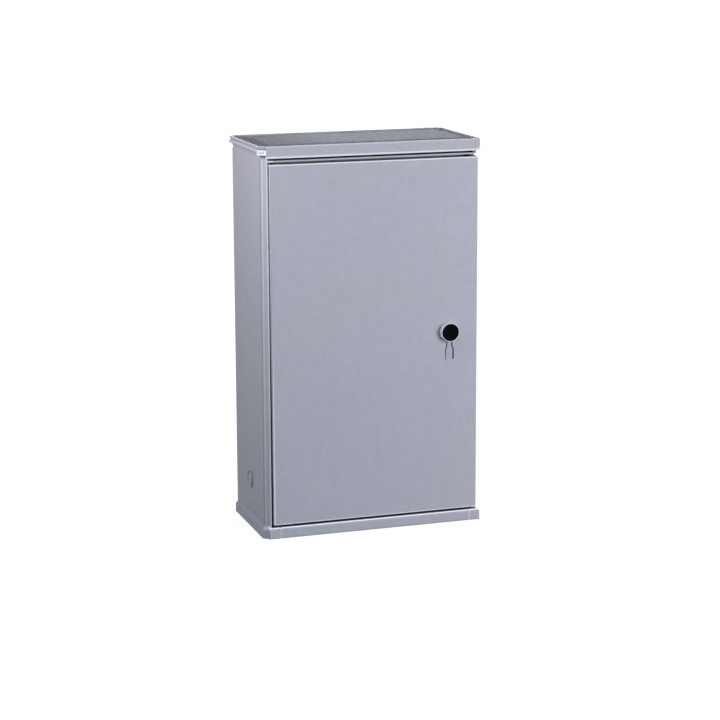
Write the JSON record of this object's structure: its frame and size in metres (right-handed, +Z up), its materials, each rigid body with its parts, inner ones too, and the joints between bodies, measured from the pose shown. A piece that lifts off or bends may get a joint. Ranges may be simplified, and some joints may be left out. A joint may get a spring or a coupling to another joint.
{
  "type": "fibreglass street cabinet",
  "caption": "Free-standing glass-fibre polyester street cabinet with a hinged door, a round black lock, a moulded crown and base, and a cable plug in each side.",
  "frame": {"origin": "on the ground, under the middle of the whole box with the lock included", "axes": "+Z up, +X to the right seen from the front, the door faces -Y"},
  "size_m": [0.53, 0.2772, 0.9],
  "materials": {
    "moulded_polyester": "satin",
    "weathered_polyester": "matte",
    "black_plastic": "satin",
    "zinc_steel": "satin"
  },
  "bodies": {
    "root": {"base_corner_front_left": "moulded_polyester", "base_corner_front_right": "moulded_polyester", "base_corner_rear_left": "moulded_polyester", "base_corner_rear_right": "moulded_polyester", "base_front_rail": "moulded_polyester", "base_rear_rail": "moulded_polyester", "base_left_rail": "moulded_polyester", "base_right_rail": "moulded_polyester", "floor_panel": "moulded_polyester", "left_side_panel": "moulded_polyester", "right_side_panel": "moulded_polyester", "rear_panel": "moulded_polyester", "left_cable_plug": "moulded_polyester", "right_cable_plug": "moulded_polyester", "post_front_left": "moulded_polyester", "post_front_right": "moulded_polyester", "post_rear_left": "moulded_polyester", "post_rear_right": "moulded_polyester", "vent_rail": "moulded_polyester", "crown_left_rail": "moulded_polyester", "crown_right_rail": "moulded_polyester", "crown_rear_rail": "moulded_polyester", "crown_corner_front_left": "moulded_polyester", "crown_corner_front_right": "moulded_polyester", "crown_corner_rear_left": "moulded_polyester", "crown_corner_rear_right": "moulded_polyester", "crown_front_fascia": "moulded_polyester", "roof_panel": "weathered_polyester", "hinge_pin_lower": "zinc_steel", "hinge_pin_upper": "zinc_steel"},
    "door": {"door_panel": "moulded_polyester", "door_stiffener_lower": "moulded_polyester", "door_stiffener_upper": "moulded_polyester", "hinge_socket_lower": "moulded_polyester", "hinge_socket_upper": "moulded_polyester", "lock_bezel": "moulded_polyester", "lock_tab": "moulded_polyester", "lock_case": "black_plastic"},
    "lock": {"lock_core": "black_plastic"}
  },
  "joints": [
    {"name": "door_hinge", "type": "hinge", "parent": "root", "child": "door", "pos_m": [-0.228, -0.1154, 0.4445], "axis": [0, 0, -1], "range_deg": [0, 95]},
    {"name": "lock_turn", "type": "hinge", "parent": "door", "child": "lock", "pos_m": [0.186, -0.1314, 0.455], "axis": [0, 1, 0], "range_deg": [0, 90]}
  ]
}
